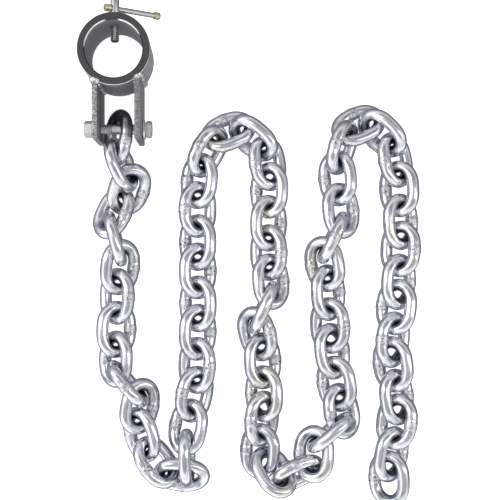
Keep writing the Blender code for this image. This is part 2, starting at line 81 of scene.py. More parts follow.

# Collar: the shade, and the dark and light of the marks, of each lug's sawn edges, the painted highlight on
# the bore's chamfer over a tilted line and on both sides of the screw, with painted shade below it and at the
# screw, and the weld beads
LUG_EDGES = {"lug_left": (1.0, (0.35, 1.5)), "lug_right": (0.8, (0.5, 1.2))}
LUG_ROUNDING = {"width": 1.2 * MM, "segments": 3}
HIGHLIGHT_TILT = 0.226
HIGHLIGHT_HEIGHT = 8 * MM
HIGHLIGHT_FADE = 1.5 * MM
HIGHLIGHT_ASIDE = (5 * MM, 7 * MM)
BEAD_INSET = 1.5 * MM
BEAD_RIPPLE = 2.4 * MM
BEAD_STEP = 0.6 * MM
BEAD_LUMPS = 210.0
BEAD_SEED = 3.0

# Bolt, screw and bar: the threaded share of each, small edges, and a fit without play
THREADED_BOLT = 0.45
THREADED_SCREW = 0.62
SCREW_TIP = 1.4 * MM
HEXAGON_CHAMFER = 0.9 * MM
WASHER_EDGE = 0.3 * MM
BAR_EDGE = 0.5 * MM
CAP_EDGE = 0.9 * MM
SNUG = 0.1 * MM

# Meshes: how far a cutter passes a face, the gap that is closed, faces round each shape, and sharp angles
OVERRUN = 5 * MM
MERGE_GAP = 0.000002
RING_SIDES = 144
ROUND_SIDES = 72
ROD_SIDES = 48
BAR_SIDES = 40
THREAD_STEPS = 28
THREAD_SIDES = 4
BEAD_SIDES = 16
SHARP_EDGE = math.radians(35)
SHARP_WIRE = math.radians(60)

# Spots in a metre, detail and roughness of each noise, and the middle span where most of a noise lies
NOISES = {
    "tint": (26, 1.0, 0.5),
    "streaks": (150, 3.0, 0.5),
    "lumps": (620, 2.0, 0.5),
    "clouds": (120, 4.0, 0.5),
    "dents": (130, 2.0, 0.5),
    "mottle": (90, 5.0, 0.6),
    "fine_skin": (900, 4.0, 0.5),
    "saw_marks": (480, 3.0, 0.7),
    "rolling": (160, 4.0, 0.6),
    "plate_skin": (700, 3.0, 0.5),
    "rubbing": (500, 3.0, 0.5),
    "fine_marks": (300, 5.0, 0.5),
    "edge_marks": (500, 5.0, 0.5),
    "weld_scale": (380, 3.0, 0.6),
    "weld_skin": (500, 3.0, 0.5),
    "floor_clouds": (3, 2.0, 0.5),
}
NOISE_SPAN = (0.3, 0.7)

# Zinc: the spans of its noises that make streaks, specks and tint, its roughness, and how dark dull zinc is
STREAK_SPAN = (0.5, 0.72)
SPECK_SPAN = (0.36, 0.40)
TINT_SPAN = (0.60, 0.74)
ZINC_ROUGHNESS = (0.15, 0.27)
DULL_SHARE = 0.66

# Light tent: colours from straight below, 0, over the horizon, 0.5, to straight above, 1, and the strength
# at its left and right and at its front and back, then the low window's strength and where it fades
TENT = ((0.0, (0.20, 0.21, 0.24)), (0.4, (0.28, 0.29, 0.33)), (0.5, (0.38, 0.39, 0.44)),
        (0.62, (0.58, 0.59, 0.64)), (0.72, (1.0, 1.0, 1.0)), (0.85, (1.0, 1.0, 1.0)),
        (0.885, (0.36, 0.36, 0.38)), (0.93, (0.34, 0.335, 0.35)), (0.965, (0.45, 0.44, 0.455)),
        (1.0, (0.48, 0.47, 0.485)))
TENT_SIDES = (1.42, 0.78)
TENT_ENDS = (1.12, 0.78)
WINDOW = 1.2
WINDOW_FRONT = (-0.6, -0.2)
WINDOW_HEIGHT = (0.12, 0.3)

# Stage: name, place, size and power of each softbox, the floor, and the camera
SOFTBOXES = (("softbox_left", (-0.95, 0.2, 0.9), (0.5, 1.4), 4),
             ("softbox_right", (0.85, -0.1, 0.95), (0.35, 1.4), 2.5))
FLOOR_HALF = 8.0
FLOOR_GLOW = 0.92
LENS = 66.59
SENSOR = 36
VIEW_SHIFT = 0.05
VIEW_PLACE = (-0.04145, -0.00148, 0.89168)
VIEW_TURN = (0.0074, -0.018, 0)


# Places of the CAD solids

def node_points(name):
    """The corners of a CAD node's mesh, each one once."""
    vertices = frame["nodes"][name].data.vertices
    points = np.zeros(len(vertices) * 3, np.float32)
    vertices.foreach_get("co", points)
    return np.unique(points.reshape(-1, 3).astype(float).round(6), axis=0)


def own_axes(points):
    """Centre and right-handed axes of a solid, its longest axis first."""
    centre = points.mean(0)
    axes = np.linalg.eigh(np.cov((points - centre).T))[1][:, ::-1].copy()
    if np.linalg.det(axes) < 0:
        axes[:, 2] *= -1
    return centre, axes


def round_span(name, direction):
    """Start and end of a round solid's centreline, and its outer radius."""
    points = node_points(name)
    direction = np.array(Vector(direction).normalized())
    along = points @ direction
    across = points - np.outer(along, direction)
    middle = (across.min(0) + across.max(0)) / 2
    radius = np.linalg.norm(across - middle, axis=1).max()
    return Vector(middle + direction * along.min()), Vector(middle + direction * along.max()), float(radius)


def joint_axis(name):
    """The direction of a joint's axis."""
    return Vector(next(joint["axis"] for joint in frame["joints"] if joint["name"] == name)).normalized()


# Sizes and colours that a user may change

class ChainSizes(bpy.types.PropertyGroup):
    """Sizes of the welded links"""

    wire_diameter: FloatProperty(name="Wire Diameter", description="Diameter of the links' round wire",
                                 default=11.6 * MM, min=0, unit='LENGTH', precision=4)
    inner_length: FloatProperty(name="Inner Length", description="Length of the space inside a link",
                                default=31 * MM, min=0, unit='LENGTH', precision=4)
    outer_width: FloatProperty(name="Outer Width", description="Width of a link over both of its legs",
                               default=40 * MM, min=0, unit='LENGTH', precision=4)
    pair_pitch: FloatProperty(name="Pair Pitch", description="Distance between two links in a pair",
                              default=31.3 * MM, min=0, unit='LENGTH', precision=4)
    oval: FloatProperty(name="Oval", description="How far a link's outline bends to an oval",
                        default=0.5, min=0, max=1, subtype='FACTOR')
    weld_width: FloatProperty(name="Weld Width", description="Width of the weld band on one leg of a link",
                              default=8 * MM, min=0, unit='LENGTH', precision=4)
    weld_height: FloatProperty(name="Weld Height", description="Height of the weld band over the wire",
                               default=0.45 * MM, min=0, unit='LENGTH', precision=5)
    wire_sides: IntProperty(name="Wire Sides", description="Faces round the wire", default=20, min=6, max=64)
    outline_steps: IntProperty(name="Outline Steps", description="Steps along a link's centreline",
                               default=88, min=16, max=256)
    seed: IntProperty(name="Seed", description="Choice of the welds' roughness and of each link's shade",
                      default=4, min=0)


class CollarSizes(bpy.types.PropertyGroup):
    """Sizes of the collar that its CAD solids don't give"""

    bore: FloatProperty(name="Bore", description="Diameter of the bore for the bar's sleeve",
                        default=52 * MM, min=0, unit='LENGTH', precision=4)
    bore_chamfer: FloatProperty(name="Bore Chamfer", description="Chamfer of the bore at the front face",
                                default=1 * MM, min=0, unit='LENGTH', precision=4)
    edge_break: FloatProperty(name="Edge Break", description="Small rounding of the ring's other edges",
                              default=0.35 * MM, min=0, unit='LENGTH', precision=5)
    bead_radius: FloatProperty(name="Bead Radius", description="Half the width of a weld bead on the lugs",
                               default=3.2 * MM, min=0, unit='LENGTH', precision=4)


class HardwareSizes(bpy.types.PropertyGroup):
    """Sizes of the bolt, the nut, the washer, the clamp screw and its bar"""

    clearance: FloatProperty(name="Clearance", description="Gap between a rod and its hole",
                             default=0.3 * MM, min=0, unit='LENGTH', precision=5)
    bolt_diameter: FloatProperty(name="Bolt Diameter", description="Diameter of the bolt's shank",
                                 default=9.5 * MM, min=0, unit='LENGTH', precision=4)
    head_thickness: FloatProperty(name="Head Thickness", description="Thickness of the bolt's hexagon head",
                                  default=5.8 * MM, min=0, unit='LENGTH', precision=4)
    bolt_pitch: FloatProperty(name="Bolt Pitch", description="Pitch of the bolt's thread",
                              default=1.5 * MM, min=0, unit='LENGTH', precision=4)
    screw_pitch: FloatProperty(name="Screw Pitch", description="Pitch of the clamp screw's thread",
                               default=1.75 * MM, min=0, unit='LENGTH', precision=4)
    thread_depth: FloatProperty(name="Thread Depth", description="Depth of the threads",
                                default=0.6 * MM, min=0, unit='LENGTH', precision=5)
    bar_diameter: FloatProperty(name="Bar Diameter", description="Diameter of the clamp screw's sliding bar",
                                default=5 * MM, min=0, unit='LENGTH', precision=4)
    cap_depth: FloatProperty(name="Cap Depth", description="Depth of a cap's hole for the bar's end",
                             default=4 * MM, min=0, unit='LENGTH', precision=4)


class FinishColours(bpy.types.PropertyGroup):
    """Colours of the finishes"""

    zinc: FloatVectorProperty(name="Zinc", description="Colour of the chain's bright zinc plating",
                              default=(0.80, 0.82, 0.86), subtype='COLOR', min=0, max=1)
    zinc_tint: FloatVectorProperty(name="Zinc Tint", description="Faint yellow of the plating here and there",
                                   default=(0.82, 0.78, 0.58), subtype='COLOR', min=0, max=1)
    weld: FloatVectorProperty(name="Weld", description="Dark specks of the links' weld bands",
                              default=(0.035, 0.035, 0.045), subtype='COLOR', min=0, max=1)
    # Also the colour of the painted shade on the crowns and on the first link behind the bolt
    rubbed_and_shaded: FloatVectorProperty(name="Rubbed and Shaded Zinc", description="Dark steel where links rub on each other",
                                default=(0.17, 0.20, 0.235), subtype='COLOR', min=0, max=1)
    # Darker than the walls partly as painted shade
    mill_scale: FloatVectorProperty(name="Mill Scale", description="Dark skin of the ring's end faces",
                                    default=(0.053, 0.050, 0.053), subtype='COLOR', min=0, max=1)
    # Lighter than the end faces partly as painted light from the sides
    wall_steel_and_painted_light: FloatVectorProperty(name="Wall Steel", description="Greyer skin of the ring's round walls",
                                    default=(0.24, 0.23, 0.24), subtype='COLOR', min=0, max=1)
    sawn_steel: FloatVectorProperty(name="Sawn Steel", description="Bare steel of the lugs' edges",
                                    default=(0.42, 0.40, 0.41), subtype='COLOR', min=0, max=1)
    dull_zinc: FloatVectorProperty(name="Dull Zinc", description="Plating of the bolt, nut and washer",
                                   default=(0.88, 0.88, 0.87), subtype='COLOR', min=0, max=1)
    bare_steel: FloatVectorProperty(name="Bare Steel", description="Steel of the clamp screw and its bar",
                                    default=(0.56, 0.545, 0.53), subtype='COLOR', min=0, max=1)
    # Painted shade in the hollows between the threads, and the dark scale of the weld beads
    thread_shade_and_weld_scale: FloatVectorProperty(name="Dark Steel", description="Dark hollows between the threads",
                                    default=(0.24, 0.24, 0.25), subtype='COLOR', min=0, max=1)
    yellow_zinc: FloatVectorProperty(name="Yellow Zinc", description="Plating of the bar's two caps",
                                     default=(0.72, 0.68, 0.40), subtype='COLOR', min=0, max=1)
    floor: FloatVectorProperty(name="Floor", description="Colour of the studio floor",
                               default=(0.93, 0.93, 0.93), subtype='COLOR', min=0, max=1)


# Node trees

def add_node(tree, kind, inputs=None, **options):
    """Adds a node, sets its options, and fills or links its inputs."""
    item = tree.nodes.new(kind)
    item.location = (NODE_SPACING * (len(tree.nodes) - 1), 0)
    for name, value in options.items():
        setattr(item, name, value)
    for key, value in (inputs or {}).items():
        if isinstance(value, bpy.types.NodeSocket):
            tree.links.new(value, item.inputs[key])
        else:
            item.inputs[key].default_value = value
    return item


def math_node(tree, operation, first, second=0.0):
    """The result of one operation on one or two values."""
    return add_node(tree, "ShaderNodeMath", {0: first, 1: second}, operation=operation).outputs[0]


def product(tree, first, *others):
    """The product of two or more values."""
    for other in others:
        first = math_node(tree, 'MULTIPLY', first, other)
    return first


def spread(tree, value, low, high, start=0.0, end=1.0, kind='LINEAR'):
    """Maps a value between low and high onto the range from start to end."""
    span = {"Value": value, "From Min": low, "From Max": high, "To Min": start, "To Max": end}
    return add_node(tree, "ShaderNodeMapRange", span, interpolation_type=kind).outputs[0]


def smooth(tree, value, low, high, start=0.0, end=1.0):
    """Does what spread does, with soft ends."""
    return spread(tree, value, low, high, start, end, 'SMOOTHSTEP')


def parts_of(tree, vector):
    """The X, Y and Z sockets of a vector."""
    return add_node(tree, "ShaderNodeSeparateXYZ", {0: vector}).outputs


def position(tree):
    """The place of each point."""
    return add_node(tree, "GeometryNodeInputPosition").outputs[0]


def stored(tree, name, kind='FLOAT'):
    """An attribute that was kept under a name."""
    return add_node(tree, "GeometryNodeInputNamedAttribute", {"Name": name}, data_type=kind).outputs[0]


def store(tree, geometry, name, value, domain='POINT'):
    """Keeps a number on each point or instance under a name."""
    given = {"Geometry": geometry, "Name": name, "Value": value}
    node = add_node(tree, "GeometryNodeStoreNamedAttribute", given, data_type='FLOAT', domain=domain)
    return node.outputs[0]


def sweep(tree, path, sides, radius, closed=False, scale=1.0):
    """A round profile swept along a path."""
    profile = add_node(tree, "GeometryNodeCurvePrimitiveCircle", {"Resolution": sides, "Radius": radius},
                       mode='RADIUS')
    return add_node(tree, "GeometryNodeCurveToMesh", {
        "Curve": path, "Profile Curve": profile.outputs[0], "Scale": scale, "Fill Caps": closed}).outputs[0]


def new_tree(name, **labels):
    """A geometry node tree and its input sockets, their labels given for each kind of socket."""
    tree = bpy.data.node_groups.new(name, 'GeometryNodeTree')
    for kind, names in labels.items():
        for label in names:
            tree.interface.new_socket(label, in_out='INPUT', socket_type=f"NodeSocket{kind}")
    tree.interface.new_socket("Geometry", in_out='OUTPUT', socket_type='NodeSocketGeometry')
    return tree, add_node(tree, "NodeGroupInput").outputs


def end_tree(tree, geometry, material):
    """Ends a tree with plain faces in one material."""
    realized = add_node(tree, "GeometryNodeRealizeInstances", {"Geometry": geometry})
    shaded = add_node(tree, "GeometryNodeSetShadeSmooth", {"Geometry": realized.outputs[0]})
    painted = add_node(tree, "GeometryNodeSetMaterial", {"Geometry": shaded.outputs[0], "Material": material})
    output = add_node(tree, "NodeGroupOutput")
    tree.links.new(painted.outputs[0], output.inputs[0])
    return tree


def bent_outline(tree, length, width, share):
    """Places between a link's straight-legged outline and an oval of the same length and width."""
    straight = position(tree)
    place = parts_of(tree, straight)
    half_length = product(tree, length, 0.5)
    half_width = product(tree, width, 0.5)
    angle = math_node(tree, 'ARCTAN2', math_node(tree, 'DIVIDE', place["Y"], half_width),
                      math_node(tree, 'DIVIDE', place["X"], half_length))
    oval = add_node(tree, "ShaderNodeCombineXYZ", {
        "X": product(tree, math_node(tree, 'COSINE', angle), half_length),
        "Y": product(tree, math_node(tree, 'SINE', angle), half_width)})
    mix = add_node(tree, "ShaderNodeMix", {0: share, 4: straight, 5: oval.outputs[0]}, data_type='VECTOR')
    return mix.outputs[1]


def rubbed_and_shaded_crowns(tree, place, length, width, wire):
    """How far a point lies on the inner side of a crown, where the links rub on each other and where painted
    shade darkens the contact.
    """
    inwards = math_node(tree, 'SUBTRACT', product(tree, length, 0.5), math_node(tree, 'ABSOLUTE', place["X"]))
    start, fade = (product(tree, wire, share) for share in RUBBED_AND_SHADED_DEPTH)
    flat, edge = (product(tree, width, share) for share in RUBBED_AND_SHADED_WIDTH)
    return product(tree, smooth(tree, inwards, 0.0, start), smooth(tree, inwards, fade, wire, 1.0, 0.0),
                   smooth(tree, math_node(tree, 'ABSOLUTE', place["Y"]), flat, edge, 1.0, 0.0))


def painted_shade_behind_bolt(tree, bolt_y):
    """How far a point of the first link lies behind the bolt, where painted shade darkens the link."""
    past = math_node(tree, 'SUBTRACT', parts_of(tree, position(tree))["Y"], bolt_y)
    return product(tree, smooth(tree, past, *BOLT_SHADE_SPAN), stored(tree, "first"))


def link_tree():
    """Welded links of round wire, one on each point, turned by the point's own angles."""
    tree, given = new_tree(
        "Chain Links", Geometry=["Points"],
        Float=["Wire Diameter", "Inner Length", "Outer Width", "Oval", "Weld Width", "Weld Height", "Bolt Y"],
        Int=["Wire Sides", "Outline Steps", "Seed"], Material=["Material"])
    wire = given["Wire Diameter"]
    length = math_node(tree, 'ADD', given["Inner Length"], wire)
    width = math_node(tree, 'SUBTRACT', given["Outer Width"], wire)
    outline = add_node(tree, "GeometryNodeCurvePrimitiveQuadrilateral", {"Width": length, "Height": width},
                       mode='RECTANGLE')
    crowns = add_node(tree, "GeometryNodeFilletCurve", {
        "Curve": outline.outputs[0], "Count": CROWN_STEPS, "Limit Radius": True,
        "Radius": product(tree, width, 0.5)}, mode='POLY')
    steps = add_node(tree, "GeometryNodeResampleCurve",
                     {"Curve": crowns.outputs[0], "Count": given["Outline Steps"]}, mode='COUNT')
    bent = add_node(tree, "GeometryNodeSetPosition", {
        "Geometry": steps.outputs[0], "Position": bent_outline(tree, length, width, given["Oval"])})
    link = sweep(tree, bent.outputs[0], given["Wire Sides"], product(tree, wire, 0.5))

    place = parts_of(tree, position(tree))
    full, edge = (product(tree, given["Weld Width"], share) for share in WELD_FADE)
    band = smooth(tree, math_node(tree, 'ABSOLUTE', place["X"]), full, edge, 1.0, 0.0)
    welded = store(tree, link, "weld", product(tree, band, math_node(tree, 'GREATER_THAN', place["Y"])))
    # Rubbed wear with painted shade on the inner side of each crown
    marked = store(tree, welded, "rubbed_and_shaded", rubbed_and_shaded_crowns(tree, place, length, width, wire))

    turn = add_node(tree, "FunctionNodeEulerToRotation", {0: stored(tree, "turn", 'FLOAT_VECTOR')})
    placed = add_node(tree, "GeometryNodeInstanceOnPoints",
                      {"Points": given["Points"], "Instance": marked, "Rotation": turn.outputs[0]})
    shade = add_node(tree, "FunctionNodeRandomValue", {"Seed": given["Seed"]}, data_type='FLOAT')
    shaded = store(tree, placed.outputs[0], "shade", shade.outputs["Value"], 'INSTANCE')
    realized = add_node(tree, "GeometryNodeRealizeInstances", {"Geometry": shaded})
    # Painted shade on the first link where it lies behind the bolt, between the lugs
    chain = store(tree, realized.outputs[0], "shade_behind_bolt", painted_shade_behind_bolt(tree, given["Bolt Y"]))

    grain = add_node(tree, "ShaderNodeTexNoise", {"Scale": WELD_GRAIN, "Detail": 2.0, "Roughness": 0.6})
    height = product(tree, stored(tree, "weld"), given["Weld Height"], product(tree, grain.outputs[0], 2.0))
    normal = add_node(tree, "GeometryNodeInputNormal").outputs[0]
    outwards = add_node(tree, "ShaderNodeVectorMath", {0: normal, "Scale": height}, operation='SCALE')
    raised = add_node(tree, "GeometryNodeSetPosition", {"Geometry": chain, "Offset": outwards.outputs[0]})
    return end_tree(tree, raised.outputs[0], given["Material"])


def thread_tree():
    """A thread's ridge: a four-sided wire that winds up along Z."""
    tree, given = new_tree("Thread Ridge", Geometry=["Start"],
                           Float=["Core Radius", "Depth", "Length", "Pitch"], Material=["Material"])
    helix = add_node(tree, "GeometryNodeCurveSpiral", {
        "Resolution": THREAD_STEPS, "Rotations": math_node(tree, 'DIVIDE', given["Length"], given["Pitch"]),
        "Start Radius": given["Core Radius"], "End Radius": given["Core Radius"], "Height": given["Length"]})
    upright = add_node(tree, "GeometryNodeSetCurveNormal", {0: helix.outputs[0]}, mode='Z_UP')
    ridge = sweep(tree, upright.outputs[0], THREAD_SIDES, given["Depth"], closed=True)
    return end_tree(tree, ridge, given["Material"])


def bead_tree():
    """Weld beads with ripples, one along each edge of the given mesh."""
    tree, given = new_tree("Weld Beads", Geometry=["Paths"], Float=["Bead Radius", "Ripple", "Seed"],
                           Material=["Material"])
    paths = add_node(tree, "GeometryNodeMeshToCurve", {0: given["Paths"]})
    steps = add_node(tree, "GeometryNodeResampleCurve", {"Curve": paths.outputs[0], "Length": BEAD_STEP},
                     mode='LENGTH')
    spline = add_node(tree, "GeometryNodeSplineParameter").outputs
    ripples = math_node(tree, 'DIVIDE', spline["Length"], given["Ripple"])
    wave = math_node(tree, 'SINE', product(tree, ripples, 2 * math.pi))
    lumps = add_node(tree, "ShaderNodeTexNoise", {"W": given["Seed"], "Scale": BEAD_LUMPS, "Detail": 2.0},
                     noise_dimensions='4D').outputs[0]
    lumpy = math_node(tree, 'ADD', product(tree, lumps, 0.9), 0.5)
    swell = math_node(tree, 'ADD', product(tree, wave, 0.08), lumpy)
    end = smooth(tree, math_node(tree, 'PINGPONG', spline["Factor"], 0.5), 0.0, 0.06, 0.35, 1.0)
    radius = product(tree, swell, end, given["Bead Radius"])
    bead = sweep(tree, steps.outputs[0], BEAD_SIDES, 1.0, closed=True, scale=radius)
    return end_tree(tree, bead, given["Material"])


# Finishes

def blend_colours(tree, share, first, second):
    """Mixes two colours, each a plain colour or a socket."""
    first, second = (colour if isinstance(colour, bpy.types.NodeSocket) else (*colour, 1)
                     for colour in (first, second))
    return add_node(tree, "ShaderNodeMix", {0: share, 6: first, 7: second}, data_type='RGBA').outputs[2]


def shades(colour, *shares):
    """Darker or lighter shades of a colour."""
    return [[part * share for part in colour] for share in shares]


class Finish:
    """A material whose noises stay in place on the object."""

    def __init__(self, name, metallic, roughness, colour):
        self.material = bpy.data.materials.new(name)
        self.material.use_nodes = True
        self.tree = self.material.node_tree
        self.sockets = self.tree.nodes["Principled BSDF"].inputs
        for label, value in (("Metallic", metallic), ("Roughness", roughness), ("Base Color", (*colour, 1))):
            self.sockets[label].default_value = value
        self.place = add_node(self.tree, "ShaderNodeTexCoord").outputs["Object"]

    def noise(self, name, span=None, stretch=None):
        """A noise from the table, with a middle span of it spread over 0 to 1 where one is given."""
        spots, detail, roughness = NOISES[name]
        place = self.place
        if stretch:
            place = add_node(self.tree, "ShaderNodeMapping", {"Vector": place, "Scale": stretch}).outputs[0]
        grain = add_node(self.tree, "ShaderNodeTexNoise", {
            "Vector": place, "Scale": spots, "Detail": detail, "Roughness": roughness}).outputs["Fac"]
        return spread(self.tree, grain, *span) if span else grain

    def link(self, label, value):
        """Links a value to one of the shader's inputs."""
        self.tree.links.new(value, self.sockets[label])

    def follow(self, marks, colours, roughness=None):
        """Blends two colours, and two roughnesses where they are given, by some marks."""
        self.link("Base Color", blend_colours(self.tree, marks, *colours))
        if roughness:
            self.link("Roughness", spread(self.tree, marks, 0.0, 1.0, *roughness))

    def bump(self, height, strength, distance):
        """Lets the surface look uneven by some height."""
        given = {"Height": height, "Strength": strength, "Distance": distance}
        self.link("Normal", add_node(self.tree, "ShaderNodeBump", given).outputs[0])


def bright_zinc(colours):
    """The links' plating: glossy, tinted here and there, with rough weld bands, dark crowns that are rubbed
    and carry painted shade, and painted shade on the first link behind the bolt.
    """
    finish = Finish("bright_zinc", 1, 0.2, colours.zinc)
    tree = finish.tree
    weld, shade, rubbed_and_shaded, shade_behind_bolt = (add_node(tree, "ShaderNodeAttribute", attribute_name=name).outputs["Fac"]
                                 for name in ("weld", "shade", "rubbed_and_shaded", "shade_behind_bolt"))
    dull = [part * DULL_SHARE for part in colours.zinc]
    streaks = spread(tree, finish.noise("streaks"), *STREAK_SPAN, 0.0, 0.5)
    patches = math_node(tree, 'SUBTRACT', 0.95, product(tree, streaks, 0.8))
    lumps = finish.noise("lumps")
    specks = spread(tree, lumps, *SPECK_SPAN, 1.0, 0.0)
    tinted = spread(tree, finish.noise("tint"), *TINT_SPAN, 0.0, 0.45)
    colour = blend_colours(tree, tinted, colours.zinc, colours.zinc_tint)
    for share, over in ((streaks, dull),
                        (spread(tree, shade, 0.0, 1.0, 0.0, 0.3), dull),
                        # Crowns darkened as rubbed wear and as painted shade where the links meet
                        (product(tree, rubbed_and_shaded, 0.8), colours.rubbed_and_shaded),
                        # Painted shade on the first link behind the bolt, broken up by the streaks
                        (product(tree, shade_behind_bolt, patches), colours.rubbed_and_shaded),
                        (product(tree, weld, 0.2), dull),
                        (product(tree, weld, specks), colours.weld)):
        colour = blend_colours(tree, share, colour, over)
    finish.link("Base Color", colour)
    clouds = spread(tree, finish.noise("clouds"), *NOISE_SPAN, *ZINC_ROUGHNESS)
    finish.link("Roughness", math_node(tree, 'ADD', clouds, product(tree, weld, 0.16)))
    finish.bump(math_node(tree, 'ADD', finish.noise("dents"), product(tree, weld, lumps, 3.0)), 0.4, 0.4 * MM)
    return finish.material


def mill_scale(name, colour):
    """The dark skin of rolled and turned steel, dull and slightly mottled."""
    finish = Finish(name, 0, 0.5, colour)
    finish.follow(finish.noise("mottle", NOISE_SPAN), shades(colour, 0.85, 1.15), (0.42, 0.55))
    finish.bump(finish.noise("fine_skin"), 0.3, 0.1 * MM)
    return finish.material


def sawn_steel(name, colour, contrast):
    """A lug's sawn edges: light steel with rough marks, flecked with dark where the contrast is high."""
    finish = Finish(name, 0.6, 0.4, colour)
    marks = finish.noise("saw_marks", (0.42, 0.58), (1.0, 2.0, 0.6))
    finish.follow(marks, shades(colour, *contrast), (0.6, 0.3))
    finish.bump(marks, 0.5, 0.2 * MM)
    return finish.material


def rolled_skin(colours):
    """The lugs' flat sides: the dark skin of rolled plate, faintly streaked."""
    finish = Finish("rolled_skin", 0, 0.45, colours.wall_steel_and_painted_light)
    streaks = finish.noise("rolling", NOISE_SPAN, (1.0, 0.3, 1.5))
    finish.follow(streaks, shades(colours.wall_steel_and_painted_light, 0.5, 0.85), (0.55, 0.38))
    finish.bump(finish.noise("plate_skin"), 0.25, 0.1 * MM)
    return finish.material


def chamfer_highlight(colours, centre, screw_x):
    """The bore's chamfer: a painted highlight over its upper part, and painted shade below it and at the
    screw.
    """
    finish = Finish("chamfer_highlight", 0.9, 0.3, colours.dull_zinc)
    tree = finish.tree
    place = parts_of(tree, finish.place)
    # Painted highlight above a tilted line, faded out near the screw; below it and at the screw the chamfer
    # keeps the dark colour as painted shade
    tilted = math_node(tree, 'SUBTRACT', place["Y"], product(tree, place["X"], HIGHLIGHT_TILT))
    level = centre.y - HIGHLIGHT_TILT * centre.x + HIGHLIGHT_HEIGHT
    upper = spread(tree, tilted, level - HIGHLIGHT_FADE, level + HIGHLIGHT_FADE)
    aside = math_node(tree, 'ABSOLUTE', math_node(tree, 'SUBTRACT', place["X"], screw_x))
    highlit = product(tree, upper, spread(tree, aside, *HIGHLIGHT_ASIDE))
    finish.follow(highlit, (colours.mill_scale, colours.dull_zinc))
    finish.link("Roughness", spread(tree, finish.noise("rubbing"), *NOISE_SPAN, 0.25, 0.4))
    return finish.material


def plain_metal(name, colour, roughness, marks="fine_marks"):
    """A metal finish with faint, even marks."""
    finish = Finish(name, 1, roughness, colour)
    rough, smoother = roughness * 1.1, roughness * 0.95
    finish.follow(finish.noise(marks, NOISE_SPAN), shades(colour, 0.94, 1), (rough, smoother))
    return finish.material


def weld_steel(colours):
    """Weld beads: bright crowns with dark, scaly hollows."""
    finish = Finish("weld_steel", 0.9, 0.3, colours.dull_zinc)
    scaly = finish.noise("weld_scale", (0.34, 0.5))
    finish.follow(scaly, (colours.thread_shade_and_weld_scale, colours.dull_zinc), (0.5, 0.25))
    finish.bump(finish.noise("weld_skin"), 0.4, 0.3 * MM)
    return finish.material


def studio_floor(colours):
    """A matt pale board with the faintest unevenness."""
    finish = Finish("studio_floor", 0, 0.7, colours.floor)
    finish.follow(finish.noise("floor_clouds", NOISE_SPAN), shades(colours.floor, 0.985, 1))
    finish.sockets["Emission Color"].default_value = (1, 1, 1, 1)
    finish.sockets["Emission Strength"].default_value = FLOOR_GLOW
    return finish.material


# Plain meshes

def add_piece(name, mesh, body, nodes, sharp=SHARP_EDGE):
    """Puts a finished mesh in the scene, on its body, in place of its CAD nodes."""
    mesh.name = name
    mesh.shade_smooth()
    mesh.set_sharp_from_angle(angle=sharp)
    item = bpy.data.objects.new(name, mesh)
    bpy.context.scene.collection.objects.link(item)
    if nodes:
        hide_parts(*nodes)
    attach(item, body)


def start_object(name, mesh=None):
    """An object that a node tree or a modifier works on."""
    item = bpy.data.objects.new(name, mesh or bpy.data.meshes.new(name))
    bpy.context.scene.collection.objects.link(item)
    return item


def grown_mesh(tree, values, start_mesh=None):
    """The plain mesh that a node tree grows from some points or paths."""
    item = start_object(tree.name, start_mesh)
    modifier = item.modifiers.new(tree.name, 'NODES')
    modifier.node_group = tree
    for socket in tree.interface.items_tree:
        if socket.in_out == 'INPUT' and socket.name in values:
            modifier[socket.identifier] = values[socket.name]
    evaluated = item.evaluated_get(bpy.context.evaluated_depsgraph_get())
    mesh = bpy.data.meshes.new_from_object(evaluated)
    item.modifiers.remove(modifier)
    bpy.data.objects.remove(item, do_unlink=True)
    if not mesh.polygons:
        raise RuntimeError(f"{tree.name} came out empty")
    return mesh


def mesh_of(shape, name, materials=()):
    """Turns a bmesh into a mesh and frees it."""
    mesh = bpy.data.meshes.new(name)
    shape.to_mesh(mesh)
    shape.free()
    for material in materials:
        mesh.materials.append(material)
    return mesh


def turned_mesh(name, outline, sides, *materials):
    """A solid turned round Z from a closed outline of radius and height, anticlockwise."""
    shape = bmesh.new()
    ring = [shape.verts.new((radius, 0, height)) for radius, height in outline]
    edges = [shape.edges.new((ring[index], ring[(index + 1) % len(ring)])) for index in range(len(ring))]
    bmesh.ops.spin(shape, geom=ring + edges, angle=2 * math.pi, steps=sides, axis=UP, cent=(0, 0, 0),
                   use_merge=True)
    bmesh.ops.remove_doubles(shape, verts=shape.verts, dist=MERGE_GAP)
    bmesh.ops.dissolve_degenerate(shape, dist=MERGE_GAP / 4, edges=shape.edges)
    bmesh.ops.recalc_face_normals(shape, faces=shape.faces)
    return mesh_of(shape, name, materials)


def threaded_core(name, outline, threaded, plain, dark):
    """A turned rod, dark along its threaded length as painted shade between the turns of the ridge that then
    lies there.
    """
    core = turned_mesh(name, outline, ROD_SIDES, plain, dark)
    for face in core.polygons:
        face.material_index = int(face.center.z < threaded)
    return core


def aim_mesh(mesh, place, heading):
    """Moves a mesh to a place, its own Z turned to the heading."""
    turn = UP.rotation_difference(Vector(heading))
    mesh.transform(Matrix.LocRotScale(Vector(place), turn, None))
    return mesh


def cut(name, cutter):
    """A step that cuts another object out of a mesh."""
    return name, 'BOOLEAN', {"operation": 'DIFFERENCE', "solver": 'EXACT', "object": cutter}


def modified(mesh, *steps):
    """The plain mesh after some modifiers, each given as name, kind and options."""
    item = start_object(mesh.name, mesh)
    helpers = []
    for name, kind, options in steps:
        modifier = item.modifiers.new(name, kind)
        for option, value in options.items():
            if option == "object":
                helpers.append(value)
            setattr(modifier, option, value)
    result = bpy.data.meshes.new_from_object(item.evaluated_get(bpy.context.evaluated_depsgraph_get()))
    for helper in [item, *helpers]:
        bpy.data.objects.remove(helper, do_unlink=True)
    return result


